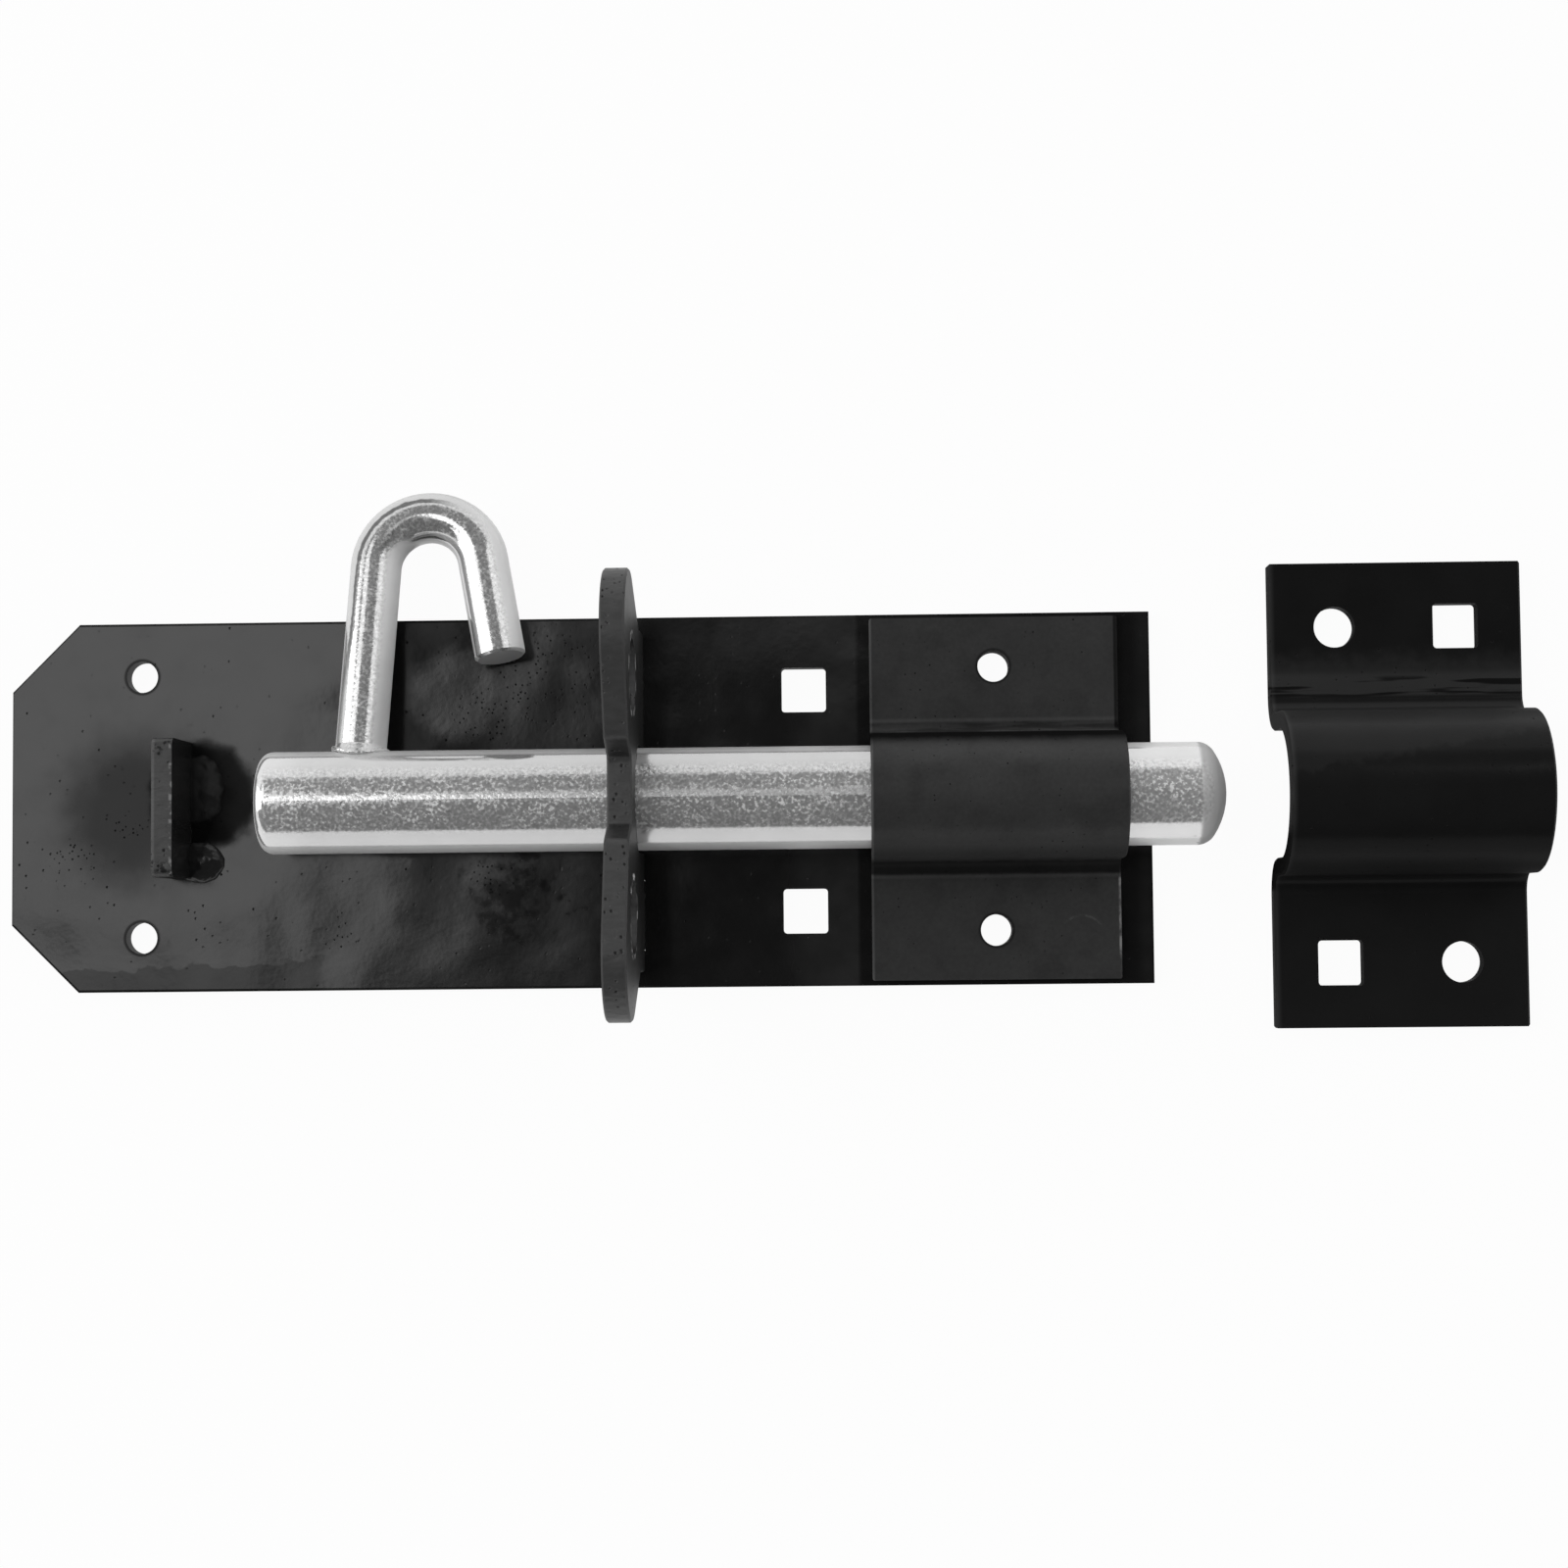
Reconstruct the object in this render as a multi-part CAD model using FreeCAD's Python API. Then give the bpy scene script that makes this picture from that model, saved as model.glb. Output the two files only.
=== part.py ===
import FreeCAD, Part
import math
import os

# Sliding padbolt for a gate or shed door, in millimetres.
# +X points along the bolt towards the keep, +Y to the side on which the handle lies,
# +Z out of the door. The origin is the middle of the back plate's rear face.

# Back plate, cut from 3 mm strip with its two tail corners clipped
plate_length = 182.0
plate_width = 59.0
plate_thickness = 3.0
corner_clip = 10.8
plate_edge_round = 0.4

# Holes of the back plate
screw_hole_diameter = 5.0
screw_edge_inset = 8.6
screw_tail_inset = 21.0
coach_square = 7.1
coach_corner_round = 0.6
coach_spacing = 35.2
coach_nose_inset = 55.0

# Bolt bar
bar_diameter = 16.0
bar_length = 150.8
bar_floor_gap = 0.9
bar_nose_length = 4.5
bar_nose_round = 3.0
bar_tail_crown = 0.5
bar_tail_round = 2.0
bar_guide_clearance = 0.35

# Stop lug that the bar's tail meets when the bolt is drawn back
lug_tail_inset = 25.8
lug_thickness = 3.2
lug_width = 21.7
lug_offset = -0.6
lug_height = 13.0
lug_corner_round = 1.4
lug_tenon_width = 12.0
bar_tail_to_lug = 12.7

# Guide plate that stands across the bar, with one padlock ear on each side
guide_tail_inset = 97.6
guide_thickness = 3.8
guide_stem_inset = 2.5
guide_stem_height = 8.5
guide_stem_round = 3.0
ear_radius = 10.2
ear_reach = 24.0
ear_rise = 15.6
ear_shoulder_round = 1.6
padlock_hole_diameter = 11.0
padlock_reach = 18.5
padlock_rise = 11.6
notch_offset = 0.7
notch_bridge = 5.75
notch_floor_half = 4.9
notch_flank_run = 2.7
notch_flank_rise = 5.8
notch_floor_round = 1.2
guide_tenon_width = 11.0
guide_tenon_offset = 18.0
guide_edge_bevel = 0.3
tenon_clearance = 0.1

# Strap that bridges the bar near the nose end of the plate
strap_width = 39.3
strap_thickness = 1.6
strap_nose_inset = 5.2
strap_edge_inset = 0.8
strap_side_clearance = 0.3
strap_top_clearance = 0.9
strap_bend_radius = 2.0
strap_edge_bevel = 0.25

# Hooked handle, bent from round rod and welded to the bar
rod_diameter = 8.0
handle_tail_inset = 15.4
hook_bend_radius = 8.6
hook_reach = 37.6
hook_tip_reach = 23.1
root_lean_deg = 3.2
tip_lean_deg = 10.8
handle_bar_clearance = 0.3
handle_rest_gap = 0.3
weld_spread = 0.5
weld_height = 0.8
tip_edge_bevel = 0.4

# Keep, a separate wider strap for the frame
keep_gap = 19.0
keep_width = 39.8
keep_length = 73.6
keep_thickness = 2.8
keep_side_clearance = 2.0
keep_top_clearance = 0.5
keep_bend_radius = 3.0
keep_edge_bevel = 0.3
keep_hole_diameter = 6.5
keep_hole_spacing_x = 19.1
keep_hole_spacing_y = 53.2

# Places worked out from the sizes above
tail_x = -plate_length / 2
nose_x = plate_length / 2
plate_half = plate_width / 2
bar_radius = bar_diameter / 2
bar_axis_z = plate_thickness + bar_floor_gap + bar_radius
lug_x = tail_x + lug_tail_inset
bar_tail_x = lug_x + lug_thickness + bar_tail_to_lug
guide_x = tail_x + guide_tail_inset
strap_x = nose_x - strap_nose_inset - strap_width
screw_y = plate_half - screw_edge_inset
screw_tail_x = tail_x + screw_tail_inset
screw_nose_x = strap_x + strap_width / 2
coach_x = nose_x - coach_nose_inset
keep_x = nose_x + keep_gap
cut_margin = 5.0


def vec(x, y, z):
    return FreeCAD.Vector(x, y, z)


def box(x, y, z, x_size, y_size, z_size):
    """Box from its lowest corner."""
    return Part.makeBox(x_size, y_size, z_size, vec(x, y, z))


def rounded_outline(corners, place):
    """Closed wire through corners (a, b, radius), each corner rounded by an arc of its radius.

    place(a, b) turns a point of the outline's plane into a point in space.
    """
    points = [vec(a, b, 0) for a, b, radius in corners]
    stops = []
    for i, (a, b, radius) in enumerate(corners):
        back = (points[i - 1] - points[i]).normalize()
        ahead = (points[(i + 1) % len(points)] - points[i]).normalize()
        half_turn = back.getAngle(ahead) / 2
        middle = (back + ahead).normalize()
        set_back = radius / math.tan(half_turn)
        crown = middle * (radius / math.sin(half_turn) - radius)
        stops.append((points[i] + back * set_back, points[i] + crown, points[i] + ahead * set_back))
    edges = []
    for i, (entry, crown, leave) in enumerate(stops):
        if corners[i][2] > 0:
            edges.append(Part.Arc(*(place(p.x, p.y) for p in (entry, crown, leave))).toShape())
        following = stops[(i + 1) % len(stops)][0]
        edges.append(Part.LineSegment(place(leave.x, leave.y), place(following.x, following.y)).toShape())
    return Part.Wire(edges)


def in_section(x):
    """Places an outline in the plane across the bolt at x."""
    return lambda y, z: vec(x, y, z)


def in_plan(z):
    """Places an outline in the plane of the door at height z."""
    return lambda x, y: vec(x, y, z)


def round_hole(x, y, diameter):
    """Round punch through anything near the door's face."""
    return Part.makeCylinder(diameter / 2, plate_thickness + 2 * cut_margin, vec(x, y, -cut_margin))


def square_hole(x, y):
    """Square punch with slightly round corners, for the neck of a coach bolt."""
    half = coach_square / 2
    corners = [(x + sx * half, y + sy * half, coach_corner_round)
               for sx, sy in ((-1, -1), (1, -1), (1, 1), (-1, 1))]
    wire = rounded_outline(corners, in_plan(-cut_margin))
    return Part.Face(wire).extrude(vec(0, 0, plate_thickness + 2 * cut_margin))


def soften(solid, radius, wanted):
    """Rounds those edges of a solid for which wanted(edge) is true."""
    return solid.makeFillet(radius, [edge for edge in solid.Edges if wanted(edge)])


def bevel(solid, size, wanted):
    """Breaks at 45 degrees those edges of a solid for which wanted(edge) is true."""
    return solid.makeChamfer(size, [edge for edge in solid.Edges if wanted(edge)])


def lies_at(edge, axis, value):
    """True when the whole edge lies in the plane where that coordinate has the value."""
    bounds = edge.BoundBox
    low = getattr(bounds, axis + "Min")
    high = getattr(bounds, axis + "Max")
    return abs(low - value) < 1e-3 and abs(high - value) < 1e-3


def slot(x, thickness, y, width):
    """Slot through the back plate for one tenon."""
    return box(x - tenon_clearance, y - width / 2 - tenon_clearance, -cut_margin,
               thickness + 2 * tenon_clearance, width + 2 * tenon_clearance,
               plate_thickness + 2 * cut_margin)


def back_plate():
    """Flat plate with clipped tail corners, four screw holes, two square holes, three tenon slots."""
    corners = [
        (tail_x, -plate_half + corner_clip, 0), (tail_x + corner_clip, -plate_half, 0),
        (nose_x, -plate_half, 0), (nose_x, plate_half, 0),
        (tail_x + corner_clip, plate_half, 0), (tail_x, plate_half - corner_clip, 0)]
    plate = Part.Face(rounded_outline(corners, in_plan(0))).extrude(vec(0, 0, plate_thickness))
    plate = soften(plate, plate_edge_round, lambda edge: lies_at(edge, "Z", plate_thickness))
    cuts = [slot(lug_x, lug_thickness, lug_offset, lug_tenon_width)]
    for side in (-1, 1):
        cuts.append(round_hole(screw_tail_x, side * screw_y, screw_hole_diameter))
        cuts.append(round_hole(screw_nose_x, side * screw_y, screw_hole_diameter))
        cuts.append(square_hole(coach_x, side * coach_spacing / 2))
        cuts.append(slot(guide_x, guide_thickness, side * guide_tenon_offset, guide_tenon_width))
    return plate.cut(cuts)


def ear_corner(shoulder, stem):
    """Corner where the two tangents of the ear's round end meet.

    One tangent leaves the shoulder of the notch and the other the top of the stem.
    """
    centre = vec(ear_reach, bar_axis_z + ear_rise, 0)

    def heading(start, turn):
        towards = centre - start
        swing = math.asin(ear_radius / towards.Length)
        angle = math.atan2(towards.y, towards.x) + turn * swing
        return vec(math.cos(angle), math.sin(angle), 0)

    first = heading(shoulder, 1)
    second = heading(stem, -1)
    gap = stem - shoulder
    along = (gap.x * second.y - gap.y * second.x) / (first.x * second.y - first.y * second.x)
    return shoulder + first * along


def guide_plate():
    """Upright plate with a low notch over the bar, two padlock ears and two tenons."""
    opening_radius = bar_radius + bar_guide_clearance
    floor_z = bar_axis_z + opening_radius + notch_bridge
    stem = vec(plate_half - guide_stem_inset, plate_thickness + guide_stem_height, 0)

    def half_outline(floor_half):
        shoulder = vec(floor_half + notch_flank_run, floor_z + notch_flank_rise, 0)
        ear = ear_corner(shoulder, stem)
        return [(stem.x, plate_thickness, 0), (stem.x, stem.y, guide_stem_round),
                (ear.x, ear.y, ear_radius), (shoulder.x, shoulder.y, ear_shoulder_round),
                (floor_half, floor_z, notch_floor_round)]

    left = half_outline(notch_floor_half + notch_offset)
    right = half_outline(notch_floor_half - notch_offset)
    corners = left + [(-y, z, radius) for y, z, radius in reversed(right)]
    face = Part.Face(rounded_outline(corners, in_section(guide_x)))
    plate = face.extrude(vec(guide_thickness, 0, 0))
    plate = bevel(plate, guide_edge_bevel, lambda edge: edge.BoundBox.ZMax > plate_thickness + 1e-3
                  and (lies_at(edge, "X", guide_x) or lies_at(edge, "X", guide_x + guide_thickness)))
    reach = guide_thickness + 2 * cut_margin
    start = guide_x - cut_margin
    opening = Part.makeCylinder(opening_radius, reach, vec(start, 0, bar_axis_z), vec(1, 0, 0))
    legs = box(start, -opening_radius, plate_thickness - cut_margin,
               reach, 2 * opening_radius, bar_axis_z - plate_thickness + cut_margin)
    cuts = [opening, legs]
    tenons = []
    for side in (-1, 1):
        cuts.append(Part.makeCylinder(padlock_hole_diameter / 2, reach,
                                      vec(start, side * padlock_reach, bar_axis_z + padlock_rise),
                                      vec(1, 0, 0)))
        tenons.append(box(guide_x, side * guide_tenon_offset - guide_tenon_width / 2, 0,
                          guide_thickness, guide_tenon_width, plate_thickness))
    return plate.cut(cuts).fuse(tenons).removeSplitter()


def hat_section(x, width, half_length, seat_z, thickness, inner_radius, inner_top_z, bend_radius,
                edge_bevel):
    """Strip bent up over a round arch, with a flat flange on each side and broken cut edges."""
    arch_z = inner_top_z - inner_radius
    outer_radius = inner_radius + thickness
    bend_y = outer_radius + bend_radius
    bend_z = seat_z + thickness + bend_radius
    place = in_section(x)
    diagonal = math.sqrt(0.5)

    def side(y_sign, radius, bend, z_flat):
        """Half of one surface: flange, bend, leg, up to the arch's spring line."""
        turn = place(y_sign * (bend_y - bend * diagonal), bend_z - bend * diagonal)
        flange_end = place(y_sign * half_length, z_flat)
        bend_start = place(y_sign * bend_y, z_flat)
        bend_end = place(y_sign * radius, bend_z)
        spring = place(y_sign * radius, arch_z)
        return [Part.LineSegment(flange_end, bend_start).toShape(),
                Part.Arc(bend_start, turn, bend_end).toShape(),
                Part.LineSegment(bend_end, spring).toShape()]

    edges = []
    for radius, bend, z_flat in ((outer_radius, bend_radius, seat_z + thickness),
                                 (inner_radius, bend_radius + thickness, seat_z)):
        edges += side(1, radius, bend, z_flat) + side(-1, radius, bend, z_flat)
        edges.append(Part.Arc(place(radius, arch_z), place(0, arch_z + radius),
                              place(-radius, arch_z)).toShape())
    for y_sign in (-1, 1):
        edges.append(Part.LineSegment(place(y_sign * half_length, seat_z),
                                      place(y_sign * half_length, seat_z + thickness)).toShape())
    wire = Part.Wire(Part.__sortEdges__(edges))
    strip = Part.Face(wire).extrude(vec(width, 0, 0))
    return bevel(strip, edge_bevel, lambda edge: lies_at(edge, "X", x) or lies_at(edge, "X", x + width))


def bolt_strap():
    """Thin strap over the bar, flat on the plate, with one screw hole in each flange."""
    half_length = plate_half - strap_edge_inset
    inner_radius = bar_radius + strap_side_clearance
    inner_top = bar_axis_z + bar_radius + strap_top_clearance
    strap = hat_section(strap_x, strap_width, half_length, plate_thickness, strap_thickness,
                        inner_radius, inner_top, strap_bend_radius, strap_edge_bevel)
    return strap.cut([round_hole(screw_nose_x, side * screw_y, screw_hole_diameter)
                      for side in (-1, 1)])


def stop_lug():
    """Short upright plate with rounded top corners and one tenon."""
    top_z = plate_thickness + lug_height
    low_y = lug_offset - lug_width / 2
    high_y = lug_offset + lug_width / 2
    corners = [(low_y, plate_thickness, 0), (high_y, plate_thickness, 0),
               (high_y, top_z, lug_corner_round), (low_y, top_z, lug_corner_round)]
    lug = Part.Face(rounded_outline(corners, in_section(lug_x))).extrude(vec(lug_thickness, 0, 0))
    tenon = box(lug_x, lug_offset - lug_tenon_width / 2, 0,
                lug_thickness, lug_tenon_width, plate_thickness)
    return lug.fuse(tenon).removeSplitter()


def bolt_bar():
    """Round bar with a blunt domed nose and a slightly crowned, rounded tail."""
    nose_end = bar_tail_x + bar_length
    nose_start = nose_end - bar_nose_length
    rim_x = bar_tail_x + bar_tail_crown
    tail_rim = bar_radius - bar_tail_round
    shoulder_radius = bar_radius - bar_nose_round

    def at(x, radius):
        return vec(x, 0, bar_axis_z + radius)

    def turn(x, height, radius, start, end):
        """Arc about a centre in the bar's lengthwise section, angles from +X."""
        points = [at(x + radius * math.cos(angle), height + radius * math.sin(angle))
                  for angle in (start, (start + end) / 2, end)]
        return Part.Arc(*points).toShape()

    crown_radius = (bar_tail_crown ** 2 + tail_rim ** 2) / (2 * bar_tail_crown)
    crown_angle = math.asin(tail_rim / crown_radius)
    dome_radius = ((bar_nose_length ** 2 + shoulder_radius ** 2 - bar_nose_round ** 2)
                   / (2 * (bar_nose_length - bar_nose_round)))
    dome_angle = math.atan2(shoulder_radius, dome_radius - bar_nose_length)
    edges = [
        turn(bar_tail_x + crown_radius, 0, crown_radius, math.pi, math.pi - crown_angle),
        turn(rim_x + bar_tail_round, tail_rim, bar_tail_round, math.pi, math.pi / 2),
        Part.LineSegment(at(rim_x + bar_tail_round, bar_radius), at(nose_start, bar_radius)).toShape(),
        turn(nose_start, shoulder_radius, bar_nose_round, math.pi / 2, dome_angle),
        turn(nose_end - dome_radius, 0, dome_radius, dome_angle, 0),
        Part.LineSegment(at(nose_end, 0), at(bar_tail_x, 0)).toShape()]
    section = Part.Face(Part.Wire(edges))
    return section.revolve(at(0, 0), vec(1, 0, 0), 360)


def rest_tilt_deg():
    """Angle below level at which the handle lies on the long edge of the plate."""
    drop = bar_axis_z - plate_thickness
    distance = math.hypot(drop, plate_half)
    reach = rod_diameter / 2 + handle_rest_gap
    return math.degrees(math.acos(reach / distance) - math.atan2(plate_half, drop))


def hook_handle():
    """Round rod leaving the bar, bent back in a hook, with a weld collar at its root."""
    rod_radius = rod_diameter / 2
    root_lean = math.radians(root_lean_deg)
    tip_lean = math.radians(tip_lean_deg)
    root_x = bar_tail_x + handle_tail_inset
    bend_start_y = hook_reach + hook_bend_radius * math.sin(root_lean)
    bend_start = vec(root_x + bend_start_y * math.tan(root_lean), bend_start_y, bar_axis_z)
    centre = bend_start + vec(math.cos(root_lean), -math.sin(root_lean), 0) * hook_bend_radius
    bend_end = centre + vec(math.cos(tip_lean), math.sin(tip_lean), 0) * hook_bend_radius
    root = vec(root_x, 0, bar_axis_z)
    upward = (bend_start - root).normalize()
    downward = vec(math.sin(tip_lean), -math.cos(tip_lean), 0)
    tip_length = (bend_end.y - hook_tip_reach) / math.cos(tip_lean)

    root_leg = Part.makeCylinder(rod_radius, (bend_start - root).Length, root, upward)
    section = Part.Face(Part.Wire(Part.Circle(bend_start, upward, rod_radius).toShape()))
    sweep = 180 - root_lean_deg - tip_lean_deg
    bend = section.revolve(centre, vec(0, 0, -1), sweep)
    tip_leg = Part.makeCylinder(rod_radius, tip_length, bend_end, downward)
    tip_end = bend_end + downward * tip_length
    tip_leg = bevel(tip_leg, tip_edge_bevel,
                    lambda edge: edge.Closed and edge.CenterOfMass.distanceToPoint(tip_end) < 1e-3)
    seat_radius = bar_radius + handle_bar_clearance
    weld_start = root + upward * (bar_radius - weld_height)
    weld = Part.makeCone(rod_radius + weld_spread, rod_radius, 2 * weld_height, weld_start, upward)
    seat = Part.makeCylinder(seat_radius, bar_length, vec(bar_tail_x, 0, bar_axis_z), vec(1, 0, 0))
    handle = root_leg.fuse([weld, bend, tip_leg]).cut(seat).removeSplitter()
    handle.rotate(vec(0, 0, bar_axis_z), vec(1, 0, 0), -rest_tilt_deg())
    return handle


def keep():
    """Thicker, wider strap for the frame, with a round and a square hole in each flange."""
    inner_radius = bar_radius + keep_side_clearance
    inner_top = bar_axis_z + bar_radius + keep_top_clearance
    body = hat_section(keep_x, keep_width, keep_length / 2, 0, keep_thickness,
                       inner_radius, inner_top, keep_bend_radius, keep_edge_bevel)
    middle_x = keep_x + keep_width / 2
    x_offset = keep_hole_spacing_x / 2
    y_offset = keep_hole_spacing_y / 2
    cuts = []
    for side in (-1, 1):
        cuts.append(round_hole(middle_x - side * x_offset, side * y_offset, keep_hole_diameter))
        cuts.append(square_hole(middle_x + side * x_offset, side * y_offset))
    return body.cut(cuts)


def write_parts():
    """Writes each sub-part to its own STEP file and prints its volume."""
    os.makedirs("parts", exist_ok=True)
    makers = (back_plate, guide_plate, bolt_strap, stop_lug, bolt_bar, hook_handle, keep)
    for make in makers:
        solid = make()
        solid.exportStep("parts/" + make.__name__ + ".step")
        print(make.__name__, "solids", len(solid.Solids), "valid", solid.isValid(),
              "volume", round(solid.Volume, 1))


write_parts()
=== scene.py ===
import math

import bpy
from mathutils import Matrix, Vector


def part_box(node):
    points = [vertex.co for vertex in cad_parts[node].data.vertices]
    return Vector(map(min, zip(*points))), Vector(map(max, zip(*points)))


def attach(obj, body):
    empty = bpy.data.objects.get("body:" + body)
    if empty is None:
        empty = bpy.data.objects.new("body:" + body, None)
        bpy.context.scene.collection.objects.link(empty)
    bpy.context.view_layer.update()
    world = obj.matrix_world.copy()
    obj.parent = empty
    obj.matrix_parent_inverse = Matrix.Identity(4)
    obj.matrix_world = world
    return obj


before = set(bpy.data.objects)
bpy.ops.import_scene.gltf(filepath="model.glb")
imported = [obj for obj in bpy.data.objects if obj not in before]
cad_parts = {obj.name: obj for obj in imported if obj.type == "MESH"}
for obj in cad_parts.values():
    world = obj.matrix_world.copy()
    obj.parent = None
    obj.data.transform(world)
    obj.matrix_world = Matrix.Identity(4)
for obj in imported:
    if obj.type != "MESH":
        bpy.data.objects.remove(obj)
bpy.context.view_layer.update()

# Back plate: flat 3 mm steel strip with its tail corners clipped, punched for four screws and two
# coach bolts. It is dipped in gloss black paint, which dries with a faint ripple, dust nibs and
# pits; the heat of the stop lug's weld has left it a little dished and dull around the lug.
# Painted shade is laid round and beside the lug, by the handle, in the gap by the strap and where
# the near left lamp's mirrored light ends; painted light is laid beside the strap and on the weld
# lumps.
MM = 0.001
plate_black = 0.007
plate_gloss = 0.16
plate_pitted = 0.28
paint_index = 1.52
cloud_pitch = 9.0
ripple_pitch = 14.0
ripple_height = 0.45
peel_pitch = 1.2
peel_height = 0.012
pit_cell = 1.3
pit_radius = 0.23
pit_depth = 0.08
pit_film = 0.75
pit_cluster = 13.0
cluster_least = 0.15
heat_reach = 19.0
heat_dish = 0.35
heat_dulling = 0.25
edge_dulling = 0.5
film_tone = 0.008
reflection_edge_shade_share = 0.65
by_handle_shade_share = 0.75
beside_lug_shade_share = 0.62
near_guide_film = 0.35
sag_film = 0.34
strap_shadow_share = 0.3
border_film = 0.7
strap_side_light_tone = 0.013
lump_highlight_tone = 0.012
screw_tail_x, screw_nose_x, screw_y = -70.0, 66.15, 20.9


class Value:
    """An output of a tree's nodes; arithmetic on it adds the Math nodes."""

    def __init__(self, graph, socket):
        self.graph = graph
        self.socket = socket

    def math(self, operation, first, second):
        return self.graph.node("ShaderNodeMath", {"operation": operation}, {0: first, 1: second})

    def __add__(self, other):
        return self.math("ADD", self, other)

    __radd__ = __add__

    def __sub__(self, other):
        return self.math("SUBTRACT", self, other)

    def __rsub__(self, other):
        return self.math("SUBTRACT", other, self)

    def __mul__(self, other):
        return self.math("MULTIPLY", self, other)

    __rmul__ = __mul__

    def __gt__(self, other):
        return self.math("GREATER_THAN", self, other)

    def size(self):
        return self.math("ABSOLUTE", self, 0)


class Graph:
    """A node tree under construction, of a material or of the world."""

    def __init__(self, tree):
        self.tree = tree

    def node(self, kind, settings, sockets, output=0):
        """Adds a node: first its settings, then the values or links of its sockets."""
        node = self.tree.nodes.new(kind)
        for name, value in settings.items():
            setattr(node, name, value)
        for name, value in sockets.items():
            self.join(value, node.inputs[name])
        return Value(self, node.outputs[output])

    def join(self, value, socket):
        if isinstance(value, Value):
            self.tree.links.new(value.socket, socket)
        else:
            socket.default_value = value

    def ramp(self, value, low, high, start=0.0, end=1.0):
        """Runs smoothly from start to end as the value goes from low to high."""
        return self.node("ShaderNodeMapRange", {"interpolation_type": "SMOOTHSTEP"}, {
            "Value": value, "From Min": low, "From Max": high, "To Min": start, "To Max": end})

    def between(self, value, low, full, fading, high):
        """Rises from low to full, stays at 1, and falls from fading to high."""
        return self.ramp(value, low, full) * self.ramp(value, high, fading)

    def vectors(self, operation, first, second, output=0):
        return self.node("ShaderNodeVectorMath", {"operation": operation},
                         {0: first, 1: second}, output)

    def part(self, vector, name):
        """One component of a vector."""
        return self.node("ShaderNodeSeparateXYZ", {}, {"Vector": vector}, name)


class Finish(Graph):
    """A material under construction, with its place on the object in millimetres."""

    def __init__(self, name):
        self.material = bpy.data.materials.new(name)
        self.material.use_nodes = True
        super().__init__(self.material.node_tree)
        self.shader = self.tree.nodes["Principled BSDF"]
        self.surface = Value(self, self.shader.outputs[0])
        metres = self.node("ShaderNodeTexCoord", {}, {}, "Object")
        self.place = self.node("ShaderNodeVectorMath", {"operation": "SCALE"},
                               {"Vector": metres, "Scale": 1 / MM})

    def set(self, **inputs):
        """Gives the shader its sockets, named with underscores for spaces."""
        for name, value in inputs.items():
            self.join(value, self.shader.inputs[name.replace("_", " ")])

    def axis(self, name):
        """One coordinate of the place, in millimetres."""
        return self.part(self.place, name)

    def direction(self):
        return self.node("ShaderNodeTexCoord", {}, {}, "Normal")

    def facing(self, name):
        """One component of the surface's own direction."""
        return self.part(self.direction(), name)

    def turned(self, name, low=0.5, high=0.9):
        """1 where the surface faces along an axis, 0 where it faces off it."""
        return self.ramp(self.facing(name), low, high)

    def rim(self, flat_axis):
        """1 on the cut edge of a sheet whose faces lie across the axis."""
        return 1 - self.ramp(self.facing(flat_axis).size(), 0.35, 0.75)

    def stretched(self, x, y, z):
        """The place with each coordinate multiplied, to draw a grain out along an axis."""
        return self.vectors("MULTIPLY", self.place, (x, y, z))

    def noise(self, pitch, detail=2.0, place=None):
        """Cloudy noise about zero whose patches are about pitch millimetres across."""
        return self.node("ShaderNodeTexNoise", {}, {
            "Vector": place or self.place, "Scale": 1 / pitch, "Detail": detail}) - 0.5

    def drawn(self, pitch, detail, squeeze):
        """Noise drawn out into lines along the bolt."""
        return self.noise(pitch, detail, self.stretched(squeeze, 1, 1))

    def spots(self, cell, radius, share):
        """Round spots, one in each cell of a scatter, of which only a share is kept."""
        sockets = {"Vector": self.place, "Scale": 1 / cell}
        distance = self.node("ShaderNodeTexVoronoi", {}, sockets, "Distance")
        chance = self.node("ShaderNodeTexVoronoi", {}, sockets, "Color")
        kept = self.node("ShaderNodeSeparateColor", {}, {"Color": chance}, "Red") > 1 - share
        return self.ramp(distance * cell, radius, 0.3 * radius) * kept

    def grey(self, value):
        """A number as a neutral colour."""
        return self.node("ShaderNodeCombineColor", {}, {
            "Red": value, "Green": value, "Blue": value})

    def relief(self, height):
        """Bends the surface's direction by a height in millimetres."""
        self.set(Normal=self.node("ShaderNodeBump", {}, {"Height": height, "Distance": MM}))

    def cover(self, share, shader):
        """Lays another shader over the surface, by a share from 0 to 1."""
        self.surface = self.node("ShaderNodeMixShader", {}, {
            0: share, 1: self.surface, 2: shader})
        self.join(self.surface, self.tree.nodes["Material Output"].inputs["Surface"])

    def film(self, share, tone):
        """Dull film of an even grey that takes the gloss away where the share is high."""
        self.cover(share, self.node("ShaderNodeBsdfDiffuse", {}, {
            "Color": (tone, tone, tone, 1)}))

    # Dark dull film: it marks real pits and scars, and it is also laid on as painted shade.
    def dark_film_and_painted_shade(self, share):
        self.film(share, film_tone)

    def away(self, x, y):
        """Distance in plan from a point."""
        return self.vectors("DISTANCE", self.stretched(1, 1, 0), (x, y, 0), "Value")

    def dip(self, x, y, reach):
        """Round soft hollow in plan: 1 at its centre, 0 at its reach."""
        return self.ramp(self.away(x, y), reach, 0)

    def screw_rings(self, places_x, outer, inner):
        """Dark ring round each pair of screw holes, on level faces only."""
        rings = 0
        for x in places_x:
            for y in (-screw_y, screw_y):
                rings = self.ramp(self.away(x, y), outer, inner) + rings
        return rings * self.turned("Z")


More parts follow.
